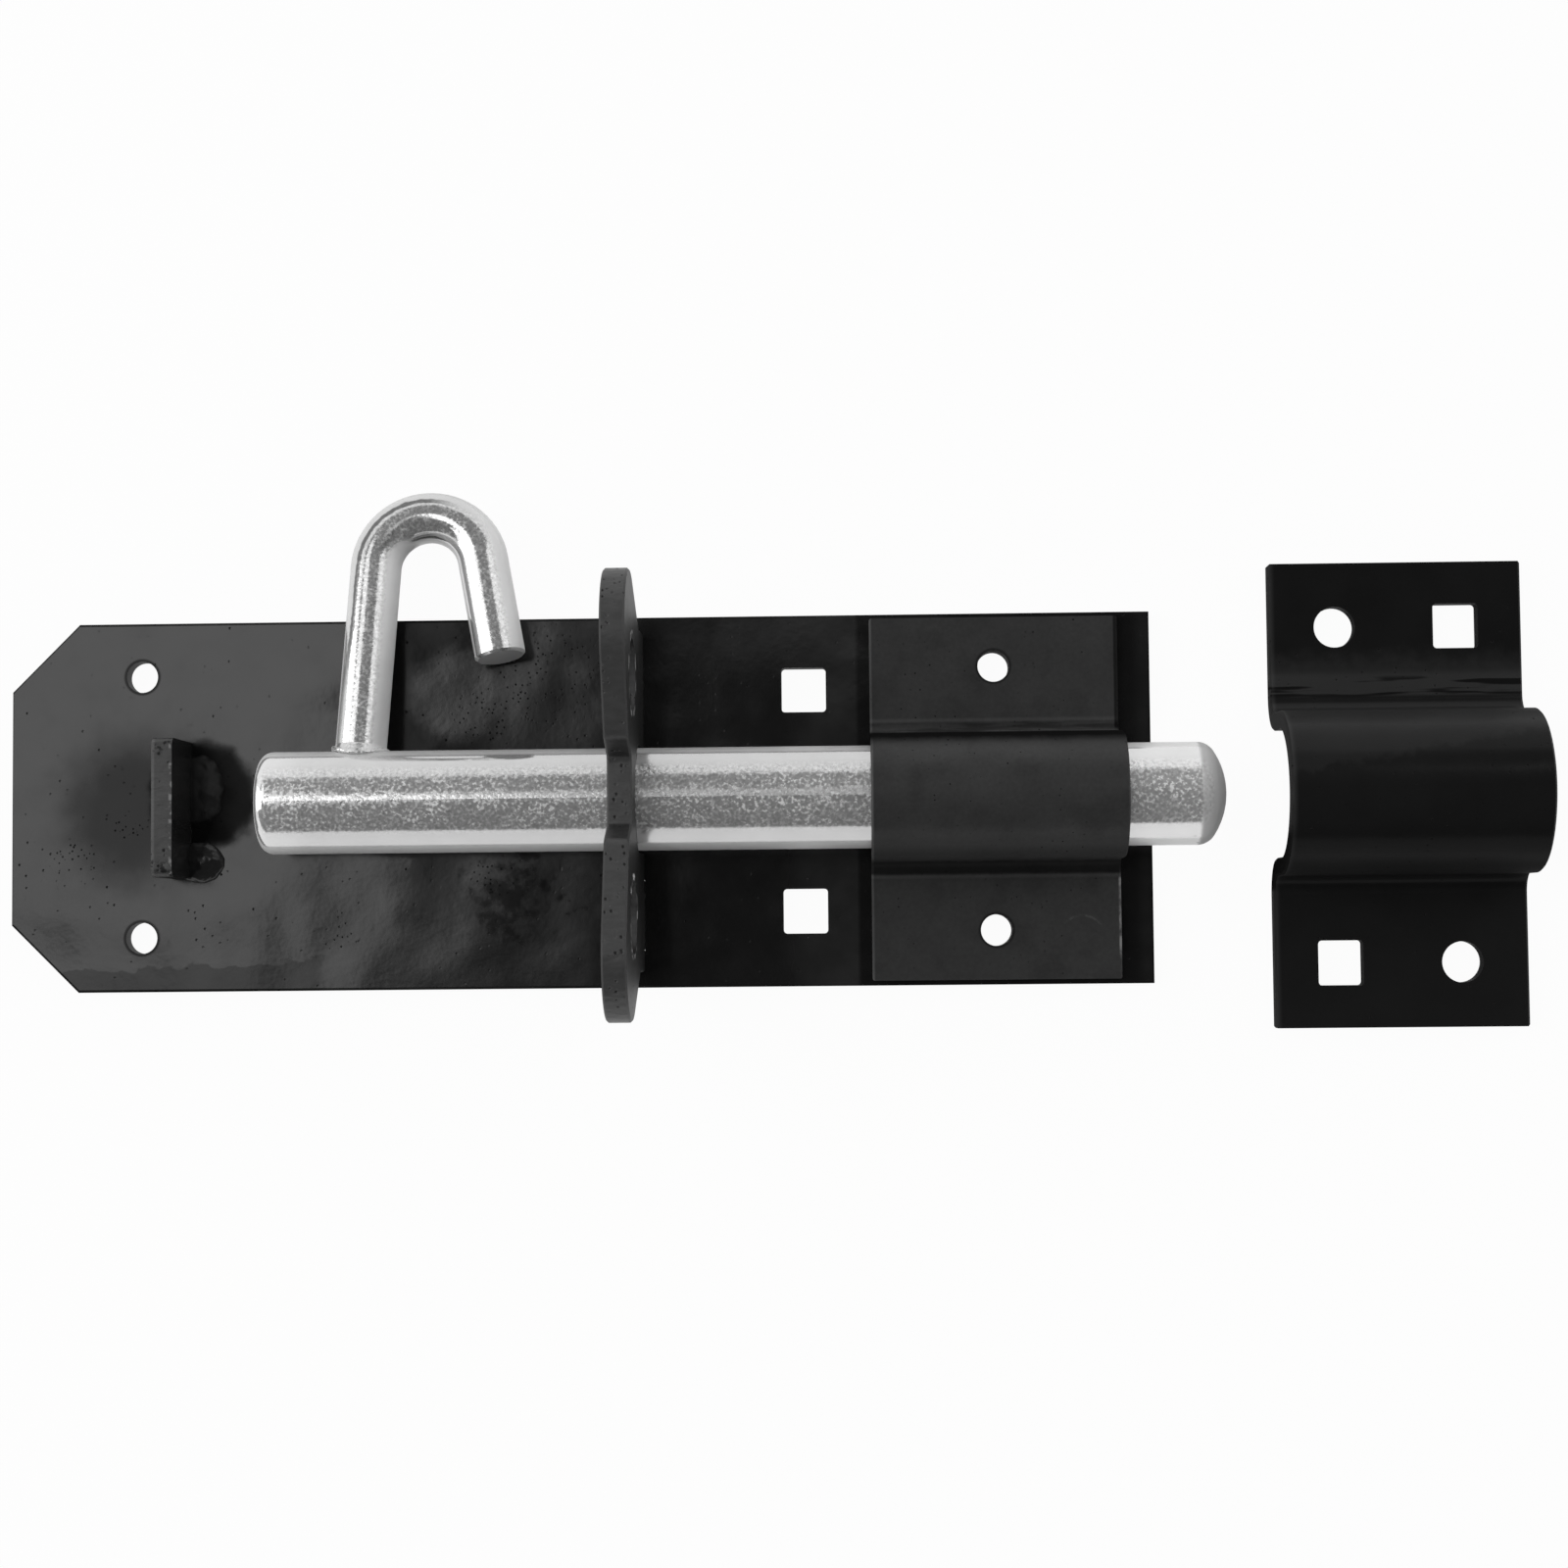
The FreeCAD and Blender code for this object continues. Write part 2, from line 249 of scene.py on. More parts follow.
def gloss_black(name, tone, gloss, rippled=1.0, pitted=0.35, index=paint_index, flat_axis="Z",
                nibbed=(), nib_share=0.85):
    """Gloss black paint over steel; returns the finish and the relief that it starts from."""
    paint = Finish(name)
    cluster = paint.ramp(paint.noise(pit_cluster, 3.0), -0.02, 0.16, cluster_least, 1.0)
    paint.pits = paint.spots(pit_cell, pit_radius, pitted) * cluster
    fine = paint.spots(0.6 * pit_cell, 0.8 * pit_radius, nib_share)
    for x, y, reach in nibbed:
        paint.pits = paint.pits + fine * paint.ramp(paint.dip(x, y, reach), 0.1, 0.6)
    relief = (paint.noise(ripple_pitch, 1.0) * (ripple_height * rippled)
              + paint.noise(peel_pitch, 1.0) * peel_height - paint.pits * pit_depth)
    cloud = paint.noise(cloud_pitch, 3.0)
    paint.tone = tone * (1 + cloud * 0.5) - paint.pits * (0.6 * tone)
    paint.roughness = (gloss + cloud * 0.08 + paint.pits * 0.2
                       + paint.rim(flat_axis) * edge_dulling)
    paint.set(IOR=index, Roughness=paint.roughness)
    return paint, relief


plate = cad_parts["back_plate"]
lug_low, lug_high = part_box("stop_lug")
strap_low, strap_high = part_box("bolt_strap")
lug_x = (lug_low.x + lug_high.x) / 2 / MM
strap_left, strap_right = strap_low.x / MM, strap_high.x / MM
nib_patches = ((-81, -9, 6), (-38.5, -20.5, 5), (-4, 20, 13), (-15, 13, 8), (-13, -11, 6),
               (-72.5, -3, 4))
plate_paint, plate_relief = gloss_black("plate_black", plate_black, plate_gloss,
                                        pitted=plate_pitted, nibbed=nib_patches)
plate_x = plate_paint.axis("X")
plate_y = plate_paint.axis("Y")
off_middle = plate_y.size()
curls = plate_paint.noise(2.6, 5.0)
ragged = plate_paint.noise(4.0, 4.0)
heated = plate_paint.dip(lug_x + 1.5, -1, heat_reach)
# Painted shade: a dark film round the lug and a wider one beside it stand in for the lug's shadow
# and its dark mirror image in the gloss; the first also makes the paint rougher.
painted_shade_round_lug = plate_paint.ramp(plate_paint.dip(-60.0, 1.6, 14) + ragged * 0.35, 0.22, 0.5)
painted_shade_beside_lug = plate_paint.ramp(plate_paint.dip(-71.0, -0.5, 19) + ragged * 0.45, -0.05, 0.75)
# Painted highlight: the weld lumps are painted lighter, standing in for their reflection, and take
# less of the painted shade.
lump = plate_paint.ramp(plate_paint.axis("Z"), 3.1, 3.4)
# Painted shade: a dark film beside the handle's rod, except in a clear patch where the lamps'
# mirrored light falls.
clear = plate_paint.ramp(plate_paint.dip(-19.5, 17.5, 12) + curls * 0.4, 0.15, 0.65)
painted_shade_by_handle = ((1 - clear) * plate_paint.between(plate_x, -33, -29, -15, -8)
             * plate_paint.ramp(plate_y, 5, 8))
# Painted shade: dark patches with curdled edges, below the bar left of the guide, end the near
# left lamp's mirrored light.
reflection_edge_shade = plate_paint.ramp(
    plate_paint.dip(-11, -14, 15) * 0.7 + plate_paint.noise(1.8, 5.0) * 1.5
    + plate_paint.noise(5.0, 3.0) * 0.9, 0.3, 0.8)
near_guide = (plate_paint.ramp(plate_x, -16, 0)
              * plate_paint.ramp(plate_paint.noise(5.0, 4.0), -0.3, 0.25))
low_edge = plate_y - plate_x * 0.05 + curls * 3.2 + plate_paint.noise(9.0, 1.0) * 3
sag = (plate_paint.ramp(low_edge, -22.3, -22.6)
       * plate_paint.ramp(plate_x + curls * 4, -40, -42.5))
# Painted shadow: a dark strip on the plate just left of the strap's edge.
painted_shadow_by_strap = plate_paint.ramp(plate_x, strap_left - 2.4, strap_left - 1.6)
# Painted light: the plate is painted lighter towards the strap's left side and just right of it,
# standing in for the lamps mirrored there.
painted_light_by_strap = (plate_paint.ramp(plate_x, 31, 39) * (1 - painted_shadow_by_strap) * plate_paint.ramp(plate_y, 5, -5, 1.0, 1.7)
        + plate_paint.ramp(plate_x, 87.8, 90.0) * 0.9)
border = (plate_paint.ramp(off_middle, 29.1, 29.35)
          + plate_paint.ramp(off_middle - plate_x, 109.2, 109.5)
          + plate_paint.ramp(plate_x.size(), 90.6, 90.85)
          + plate_paint.screw_rings((screw_tail_x, screw_nose_x), 3.1, 2.75))
plate_paint.relief(plate_relief - heated * heat_dish)
plate_paint.set(Roughness=plate_paint.roughness + painted_shade_round_lug * heat_dulling,
                Base_Color=plate_paint.grey(
                    plate_paint.tone + painted_light_by_strap * strap_side_light_tone + lump * lump_highlight_tone))
plate_paint.dark_film_and_painted_shade(painted_shade_round_lug * (0.78 - lump * 0.6) + painted_shade_beside_lug * beside_lug_shade_share
                 + reflection_edge_shade * reflection_edge_shade_share + painted_shade_by_handle * by_handle_shade_share
                 + near_guide * near_guide_film + sag * sag_film + painted_shadow_by_strap * strap_shadow_share
                 + border * border_film + plate_paint.pits * pit_film)
plate.data.materials[0] = plate_paint.material

# Guide plate: 3.8 mm steel blanked to an eared outline and set upright across the bar, its two
# feet let into the plate. The sheared rim shows through the paint as a coarser, paler grain across
# the thickness, painted paler still where it faces up, and a ragged pale ring painted round the
# padlock holes is a painted highlight of their edges.
sheared_tone = 0.008
rim_tone = 0.035
rim_gloss = 0.42
shear_height = 0.12
scar_cell = 0.9
scar_radius = 0.34
scar_depth = 0.25
scar_film = 0.8
guide_gloss = 0.5
guide_scars = 0.8
hole_highlight_tone = 0.5
hole_highlight_radius = 6.2


def sheared_black(name, gloss, scarred, sound_half=0.0):
    """Paint for a blanked plate that stands across the bolt: even on its faces, grained and
    scarred on its sheared rim, which can be left sound up to a distance from the middle."""
    paint, relief = gloss_black(name, sheared_tone, gloss, flat_axis="X")
    rim = paint.rim("X")
    grain = paint.drawn(1.1, 4.0, 0.45)
    patch = (paint.ramp(paint.noise(4.0, 3.0), -0.06, 0.06)
             * paint.ramp(paint.axis("Y").size(), sound_half - 1, sound_half))
    scars = paint.spots(scar_cell, scar_radius, 0.5) * patch * scarred
    # Painted light: the rim's pale grain is painted full where the rim faces up and faint where it
    # faces sideways.
    painted_rim_light = paint.ramp(paint.facing("Z"), 0.35, 0.9, 0.1, 1.05)
    paint.relief(relief + rim * (grain * shear_height - scars * scar_depth))
    paint.dark_film_and_painted_shade(paint.pits * pit_film + scars * rim * scar_film)
    paint.tone = sheared_tone + rim * painted_rim_light * ((1 - scars) * (rim_tone * (1 + grain)))
    paint.set(Base_Color=paint.grey(paint.tone),
              Roughness=gloss + rim * (rim_gloss - gloss) + scars * rim * 0.2)
    return paint


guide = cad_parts["guide_plate"]
guide_paint = sheared_black("guide_black", guide_gloss, guide_scars)
padlock_low, padlock_high = (0, -18.5, 23.5), (0, 18.5, 23.5)
# Painted highlight: a ragged pale ring round each padlock hole on the face turned to +X, half as
# strong round the upper one.
painted_hole_highlight = 0
for hole, share in ((padlock_low, 1.0), (padlock_high, 0.5)):
    reach = guide_paint.vectors("DISTANCE", guide_paint.stretched(0, 1, 1), hole, "Value")
    painted_hole_highlight = guide_paint.ramp((reach - hole_highlight_radius).size(), 0.7, 0.3) * share + painted_hole_highlight
painted_hole_highlight = (painted_hole_highlight * guide_paint.turned("X")
        * guide_paint.ramp(guide_paint.noise(2.2, 3.0), 0.02, 0.12))
guide_paint.film(painted_hole_highlight, hole_highlight_tone)
guide.data.materials[0] = guide_paint.material

# Stop lug: a short upright of the same steel, cropped to length and welded to the plate where the
# bar's tail meets it when the bolt is drawn back. Its cropped top is pitted, with painted
# highlights along its two long top edges, dotted on the right one, and its side facing +X is
# painted lighter.
# The weld is two painted-over lumps at its foot, low enough for the bar to pass over.
lug_gloss = 0.25
lug_scars = 1.0
lug_sound_half = 7.0
lug_middle_y = -0.6
lug_shade = 0.72
lug_edge_highlight_tone = 0.05
lug_side_painted_light = 0.01
torn_film = 0.75
lump_wobble = 0.45


def only(obj):
    """Leaves one object selected and active."""
    bpy.ops.object.select_all(action="DESELECT")
    obj.select_set(True)
    bpy.context.view_layer.objects.active = obj


def apply_modifier(obj, kind, **settings):
    only(obj)
    modifier = obj.modifiers.new(kind.lower(), kind)
    for name, value in settings.items():
        setattr(modifier, name, value)
    bpy.ops.object.modifier_apply(modifier=modifier.name)


def clouds(name, pitch, depth):
    """Cloudy unevenness for a displaced mesh, its patches about pitch millimetres across."""
    texture = bpy.data.textures.new(name, "CLOUDS")
    texture.noise_scale = pitch * MM
    texture.noise_depth = depth
    return texture


def weld_lump(centre, spread):
    """A lump of weld half sunk in the plate: a sphere drawn out flat and made uneven."""
    bpy.ops.object.select_all(action="DESELECT")
    bpy.ops.mesh.primitive_ico_sphere_add(subdivisions=5, radius=MM, location=(0, 0, 0))
    lump = bpy.context.object
    lump.location = Vector(centre) * MM
    lump.scale = spread
    bpy.ops.object.transform_apply(location=True, rotation=False, scale=True)
    apply_modifier(lump, "DISPLACE", texture=lump_clouds, texture_coords="LOCAL",
                   strength=lump_wobble * MM, mid_level=0.6)
    return lump


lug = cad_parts["stop_lug"]
lug_paint = sheared_black("lug_black", lug_gloss, lug_scars, lug_sound_half)
lug_left, lug_right = lug_low.x / MM, lug_high.x / MM
lug_top = lug_paint.turned("Z", 0.4, 0.8)
dotted_highlight_mask = lug_paint.ramp(lug_paint.noise(1.6, 3.0), 0.0, 0.1)
# Painted highlights along the top's left and right edges, dotted on the right; the face turned to
# +X is painted lighter as painted light.
painted_edge_highlights = lug_top * (
    lug_paint.ramp(lug_paint.axis("X"), lug_left + 0.6, lug_left + 0.3)
    + lug_paint.ramp(lug_paint.axis("X"), lug_right - 0.6, lug_right - 0.3) * dotted_highlight_mask * 3)
torn_ends = (lug_top * lug_paint.ramp(lug_paint.noise(1.0, 3.0), 0.03, 0.1)
             * lug_paint.ramp((lug_paint.axis("Y") - lug_middle_y).size(), 7.6, 9.6))
lug_paint.dark_film_and_painted_shade(torn_ends * torn_film)
lug_paint.set(Base_Color=lug_paint.grey(
    lug_paint.tone * lug_shade + painted_edge_highlights * lug_edge_highlight_tone
    + lug_paint.turned("X") * lug_side_painted_light))
lug.data.materials[0] = lug_paint.material
lump_clouds = clouds("lump_clouds", 1.6, 2)
floor_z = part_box("back_plate")[1].z / MM
lower_lump = weld_lump((lug_right + 1.4, -8.9, floor_z), (3.9, 3.3, 1.5))
upper_lump = weld_lump((lug_right + 1.2, 2.5, floor_z), (4.1, 5.9, 0.65))
lower_lump.select_set(True)
bpy.ops.object.join()
upper_lump.name = "lug_weld"
bpy.ops.object.shade_smooth()
upper_lump.data.materials.append(plate_paint.material)
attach(upper_lump, "plate")

# Strap: 1.6 mm sheet pressed over a former into a hat section, which holds the bar down on the
# plate. Its thinner paint dries a little greyer than the plate's, and the press has left faint
# drawn lines along the arch. Painted shade darkens its bends, the arch's shoulders and the upper
# part of its right edge; painted highlights run along the creases and cut edges, and the lower
# flange is painted lighter as painted light.
strap_tone = 0.043
strap_gloss = 0.34
strap_index = 1.26
strap_grain = 0.35
drawn_height = 0.006
lower_flange_painted_light = 0.005
crease_highlight_tone = 0.022
left_edge_highlight_tone = 0.05
right_edge_highlight_tone = 0.3
scratch_light = 0.03
edge_shade_share = 0.8
ring_film = 0.6
scratch_x, scratch_y, scratch_radius = 79.6, -22.2, 3.5
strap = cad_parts["bolt_strap"]
strap_nibs = ((62, 2, 16), (76, -14, 14), (50, -20, 12), (56, 17, 12), (76, 14, 12))
strap_paint, strap_relief = gloss_black("strap_black", strap_tone, strap_gloss, 0.6, 0.4,
                                        strap_index, nibbed=strap_nibs, nib_share=0.12)
strap_paint.relief(strap_relief + strap_paint.drawn(1.3, 3.0, 0.06) * drawn_height)
strap_x = strap_paint.axis("X")
strap_y = strap_paint.axis("Y")
off_bolt = strap_y.size()
upper_side = strap_paint.ramp(strap_y, -1, 1)
wavy = off_bolt + strap_paint.noise(2.5, 3.0) * 0.5
streaky = strap_paint.ramp(strap_paint.drawn(1.0, 2.0, 0.1), -0.1, 0.1)
# Painted shade: dark film in the bends between arch and flanges, lighter and streaky on the upper
# one, and on the arch's shoulders.
painted_groove_shade = (strap_paint.between(wavy, 9.6, 10.2, 11.7, 12.3)
          * (0.72 - upper_side * (0.6 - streaky * 0.45)))
painted_shoulder_shade = (strap_paint.between(wavy, 7.6, 9.6, 10.0, 10.6) * upper_side * 0.8
            + strap_paint.between(wavy, 5.5, 7.5, 9.6, 10.0) * (1 - upper_side) * 0.3
            + strap_paint.between(wavy, 6.2, 8.6, 9.4, 10.0) * upper_side * 0.35)
# Painted highlights: a thin pale line along each bend crease, along the left cut edge, and broken
# along the lower right edge.
painted_crease_highlight = strap_paint.between(off_bolt, 11.9, 12.3, 12.4, 12.9)
painted_left_edge_highlight = strap_paint.ramp(strap_x, strap_left + 0.5, strap_left + 0.2)
painted_right_edge_highlight = (strap_paint.ramp(strap_x, strap_right - 0.5, strap_right - 0.2)
              * strap_paint.between(strap_y, -26, -24, -13.0, -12.5)
              * strap_paint.ramp(strap_paint.noise(2.0, 3.0), -0.2, 0.1))
# Painted shade along the upper part of the right edge.
painted_edge_shade = (strap_paint.ramp(strap_x, strap_right - 0.8, strap_right - 0.5)
               * strap_paint.ramp(strap_y, 10, 12))
# Painted light: the lower flange is painted a little lighter.
lower_flange = strap_paint.ramp(strap_y, -11.5, -12.5)
blotch = strap_paint.ramp(strap_paint.noise(7.0, 5.0), 0.0, 0.16)
grain = strap_paint.noise(0.6, 2.0) * strap_grain - blotch * 0.15
scratch = (strap_paint.away(scratch_x, scratch_y) - scratch_radius).size()
scratch = (strap_paint.ramp(scratch, 0.25, 0.1) * strap_paint.ramp(strap_y, -20.6, -20.0)
           * strap_paint.ramp(strap_paint.noise(1.0), -0.15, 0.1))
strap_paint.set(Base_Color=strap_paint.grey(
    (strap_paint.tone + lower_flange * lower_flange_painted_light) * (1 + grain) + painted_crease_highlight * crease_highlight_tone
    + painted_left_edge_highlight * left_edge_highlight_tone + painted_right_edge_highlight * right_edge_highlight_tone + scratch * scratch_light))
strap_paint.dark_film_and_painted_shade(painted_groove_shade + painted_shoulder_shade + strap_paint.pits * pit_film
                 + painted_edge_shade * edge_shade_share
                 + strap_paint.screw_rings((screw_nose_x,), 3.0, 2.7) * ring_film)
strap.data.materials[0] = strap_paint.material

# Bolt bar: 16 mm bright round steel, cut to length, its nose turned to a blunt dome, then plated
# with bright zinc. The plating follows the drawn bar's fine pitted skin, so that its dark middle
# sparkles with small flecks, while the turned ends are smooth.
zinc_tone = 0.67
zinc_gloss = 0.1
bar_metal = 0.72
fleck_pitch = 0.5
fleck_height = 0.04
fleck_tone = 0.8
grain_pitch = 0.45
grain_depth = 1.1
swell_pitch = 8.0
swell_height = 0.05
matt_roughness = 0.3
matt_dulling = 0.8
side_roughness = 0.42
side_dulling = 0.35
nose_roughness = 0.55
nose_dulling = 0.75
nose_shade = 0.3
torn_shade = 0.7


def bright_zinc(name, flecks, metal, smooth_ends=None):
    """Zinc plating, worn to pale matt flecks where it faces up; the bar's ends are left smooth."""
    zinc = Finish(name)
    coarse = zinc.noise(3.5, 2.0)
    fine = zinc.noise(fleck_pitch, 3.0)
    worn = zinc.turned("Z", 0.72, 0.86)
    upper = zinc.ramp(zinc.axis("Y"), -4.5, -1.0, 0.65, 1.0)
    weight = zinc.ramp(coarse, -0.25, 0.2, 0.45, 1.2) * flecks * worn * upper
    if smooth_ends:
        start, end = smooth_ends
        weight = weight * zinc.between(zinc.axis("X"), start - 0.6, start + 0.8,
                                       end - 0.6, end + 0.8)
    matt = zinc.ramp(fine, -0.06, 0.18) * weight
    zinc.relief(fine * weight * fleck_height + zinc.noise(swell_pitch, 1.0) * swell_height)
    side = zinc.ramp(zinc.facing("Z"), 0.54, 0.42)
    grain = zinc.noise(grain_pitch, 2.0) * grain_depth
    zinc.roughness = zinc_gloss + matt * matt_roughness + side * side_roughness
    zinc.metallic = metal * (1 - matt * matt_dulling) * (1 - side * side_dulling)
    zinc.tone = ((zinc_tone * (1 + coarse * 0.12) + matt * (fleck_tone - zinc_tone))
                 * (1 + grain * worn))
    return zinc


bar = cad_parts["bolt_bar"]
bar_low, bar_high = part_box("bolt_bar")
bar_tail, bar_nose = bar_low.x / MM, bar_high.x / MM
bar_zinc = bright_zinc("bar_zinc", 1.0, bar_metal, (bar_tail + 2, bar_nose - 4.6))
bar_x = bar_zinc.axis("X")
turned_nose = bar_zinc.ramp(bar_x, bar_nose - 4.8, bar_nose - 4.0)
# Painted light: the bar is painted lighter towards its nose and towards its tail.
painted_end_light = bar_zinc.ramp(bar_x, 60, 80) * 0.14 + bar_zinc.ramp(bar_x, -39, -48) * 0.12
torn = (bar_zinc.spots(1.3, 0.45, 0.6)
        * bar_zinc.between(bar_x, bar_nose - 5.8, bar_nose - 4.8, bar_nose - 3.6, bar_nose - 3.0)
        * bar_zinc.ramp(bar_zinc.axis("Y"), -1.0, -2.5))
bar_shade = (1 - turned_nose * nose_shade) * (1 - torn * torn_shade)
bar_zinc.set(Roughness=bar_zinc.roughness + turned_nose * nose_roughness,
             Metallic=bar_zinc.metallic * (1 - turned_nose * nose_dulling),
             Base_Color=bar_zinc.grey((bar_zinc.tone + painted_end_light) * bar_shade))
bar.data.materials[0] = bar_zinc.material

# Hooked handle: 8 mm rod bent back on itself, welded to the bar and plated with it. The root of
# the rod sits in a small ragged weld bead that follows the round of the bar.
handle_metal = 0.8
handle_flecks = 0.5
light_side_tone = 0.2
light_side_roughness = 0.35
dark_line_depth = 0.75
sawn_roughness = 0.5
sawn_dulling = 0.8
rod_radius = 4.0
bend_radius = 9.2
bend_x = -23.9
root_offset = 15.4
root_lean = math.radians(3.2)
rest_tilt = math.radians(8.77)
bead_reach = rod_radius + 0.15
bead_radius = 0.4
bead_wobble = 0.4
seat_lift = 0.25
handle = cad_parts["hook_handle"]
handle_zinc = bright_zinc("handle_zinc", handle_flecks, handle_metal)
handle_y = handle_zinc.axis("Y")
sawn = (handle_zinc.ramp(handle_zinc.facing("Y"), -0.8, -0.92)
        * handle_zinc.between(handle_y, 19, 20, 24.8, 25.5))
hook_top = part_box("hook_handle")[1].y / MM
bend_centre = (bend_x, hook_top - rod_radius - bend_radius, 0)
offset = handle_zinc.vectors("SUBTRACT", handle_zinc.stretched(1, 1, 0), bend_centre)
offset = handle_zinc.vectors("MAXIMUM", offset, (-99, 0, 0))
outward_way = handle_zinc.vectors("NORMALIZE", offset, (0, 0, 0))
outward_share = handle_zinc.vectors("DOT_PRODUCT", outward_way, handle_zinc.direction(), "Value")
# A jagged dark line is painted along the outer round of the hook's bend.
dark_line_place = (outward_share + handle_zinc.noise(1.2, 3.0) * 0.14
              + handle_zinc.ramp(handle_y, 18, 30) * 0.16)
jagged_dark_line = (handle_zinc.between(dark_line_place, 0.62, 0.68, 0.8, 0.86)
        * handle_zinc.ramp(handle_y, 10, 28)
        * handle_zinc.ramp(handle_zinc.axis("X"), -17, -24))
# Painted light: where the rod faces +X it is painted lighter, and made rougher and less metallic.
painted_light_side = handle_zinc.turned("X", 0.35, 0.65) * 0.9
handle_zinc.set(
    Base_Color=handle_zinc.grey(
        (handle_zinc.tone + painted_light_side * light_side_tone) * (1 - jagged_dark_line * dark_line_depth)),
    Roughness=(handle_zinc.roughness + sawn * sawn_roughness
               + painted_light_side * light_side_roughness),
    Metallic=handle_zinc.metallic * (1 - sawn * sawn_dulling) * (1 - painted_light_side))
handle.data.materials[0] = handle_zinc.material

bar_radius = (bar_high.z - bar_low.z) / 2
seat_radius = bar_radius / MM + seat_lift
root = Vector((bar_low.x + root_offset * MM, 0, (bar_low.z + bar_high.z) / 2))
leaning = Vector((math.sin(root_lean), math.cos(root_lean), 0))
outward = Matrix.Rotation(-rest_tilt, 3, "X") @ leaning
along = (Vector((1, 0, 0)) - outward * outward.x).normalized()
across = outward.cross(along)
bpy.ops.object.select_all(action="DESELECT")
bpy.ops.mesh.primitive_torus_add(major_radius=bead_reach * MM, minor_radius=bead_radius * MM,
                                 major_segments=120, minor_segments=14,
                                 rotation=(math.pi / 2, 0, 0))
bead = bpy.context.object
bead.name = "weld_bead"
bpy.ops.object.transform_apply(location=False, rotation=True, scale=False)
apply_modifier(bead, "SIMPLE_DEFORM", deform_method="BEND", deform_axis="Z",
               angle=-2 * (bead_reach + bead_radius) / seat_radius)
turned = Matrix((across, outward, along)).transposed().to_4x4()
bead.matrix_world = Matrix.Translation(root + outward * (seat_radius * MM)) @ turned
bpy.ops.object.transform_apply(location=True, rotation=True, scale=True)
apply_modifier(bead, "DISPLACE", texture=clouds("weld_wobble", 0.7, 1),
               texture_coords="LOCAL", strength=bead_wobble * MM, mid_level=0.5)
only(bead)
bpy.ops.object.shade_smooth()
bead.data.materials.append(handle_zinc.material)
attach(bead, "handle")

# Keep: a separate strap of 2.8 mm steel for the gate post, pressed to a wider arch that takes the
# bolt's nose, with a screw hole and a square coach bolt hole in each flange. It stands in line
# with the bolt, a little way off its nose, and is painted like the plate.
keep_tone = 0.011
keep_gloss = 0.2
keep_index = 1.2
keep_drawn_height = 0.008
bend_highlight_tone = 0.015
sheen_tone = 0.013
reflection_band_tone = 0.007
left_end_highlight_tone = 0.02
low_flange_painted_light = 0.003
lines_film = 0.5
lower_arch_shade_share = 0.42
cut_end_film = 0.6
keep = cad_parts["keep"]
keep_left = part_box("keep")[0].x / MM
keep_paint, keep_relief = gloss_black("keep_black", keep_tone, keep_gloss, 0.6, 0.5, keep_index)
keep_paint.relief(keep_relief + keep_paint.drawn(1.6, 3.0, 0.06) * keep_drawn_height)
keep_x = keep_paint.axis("X")
keep_y = keep_paint.axis("Y")
curdle = keep_paint.noise(2.0, 5.0)
# Painted highlight: the flange just above the upper bend is painted lighter, in streaks, lightest
# next to the bend; the streaks between get a dark film.
above_bend = (keep_paint.ramp(keep_y + curdle * 4, 24.0, 19.0)
              * keep_paint.ramp(keep_y, 15.3, 16.0))
lines = (keep_paint.ramp(keep_paint.drawn(1.1, 2.0, 0.07), -0.02, 0.1)
         * keep_paint.ramp(keep_y, 19.0, 18.0))
# Painted reflection: a lighter band with a wavy lower edge across the upper part of the arch.
wavy_foot = keep_y - (keep_x - keep_left) * 0.17 + curdle * 4
painted_reflection_band = keep_paint.ramp(wavy_foot, 1.6, 3.2) * keep_paint.ramp(keep_y, 14.9, 14.3)
painted_sheen = keep_paint.ramp(keep_y, 20.0, 18.5)
# Painted light: the lower flange is painted a little lighter.
low_flange = keep_paint.ramp(keep_y, -13.0, -15.5)
cut_end = keep_paint.ramp(keep_paint.facing("X"), -0.4, -0.8)
# Painted highlight along the keep's left end.
painted_left_end_highlight = keep_paint.ramp(keep_x, keep_left + 1.1, keep_left + 0.3)
# Painted shade: a dark film over the lower part of the arch.
painted_lower_arch_shade = keep_paint.between(keep_y, -15.5, -14.5, -7.5, -4.5)
keep_paint.set(Base_Color=keep_paint.grey(
    keep_paint.tone + above_bend * (1 - lines) * (painted_sheen * sheen_tone + bend_highlight_tone)
    + painted_reflection_band * reflection_band_tone + painted_left_end_highlight * left_end_highlight_tone + low_flange * low_flange_painted_light))
keep_paint.dark_film_and_painted_shade(above_bend * lines * lines_film + painted_lower_arch_shade * lower_arch_shade_share
                + cut_end * cut_end_film + keep_paint.pits * pit_film)
keep.data.materials[0] = keep_paint.material

# Floor: a wide white sheet of matt board under the bolt. It is bright to the lens and in the
# metal's reflections, and it keeps the soft shadow around the parts.
floor_glow = 0.96
floor_drop = 0.05
floor_size = 8
board_tone = 0.92
board_roughness = 0.9
bpy.ops.object.select_all(action="DESELECT")
bpy.ops.mesh.primitive_plane_add(size=floor_size, location=(0, 0, -floor_drop * MM))
floor = bpy.context.object
floor.name = "floor"
board = Finish("white_board")
seen = 0
for ray in ("Is Camera Ray", "Is Glossy Ray", "Is Transmission Ray"):
    seen = board.node("ShaderNodeLightPath", {}, {}, ray) + seen
glow = board.node("ShaderNodeEmission", {}, {"Color": (1, 1, 1, 1), "Strength": 1.0})
board.set(Base_Color=(board_tone, board_tone, board_tone, 1), Roughness=board_roughness,
          Specular_IOR_Level=0.0)
board.cover(seen * floor_glow, glow)
floor.data.materials.append(board.material)

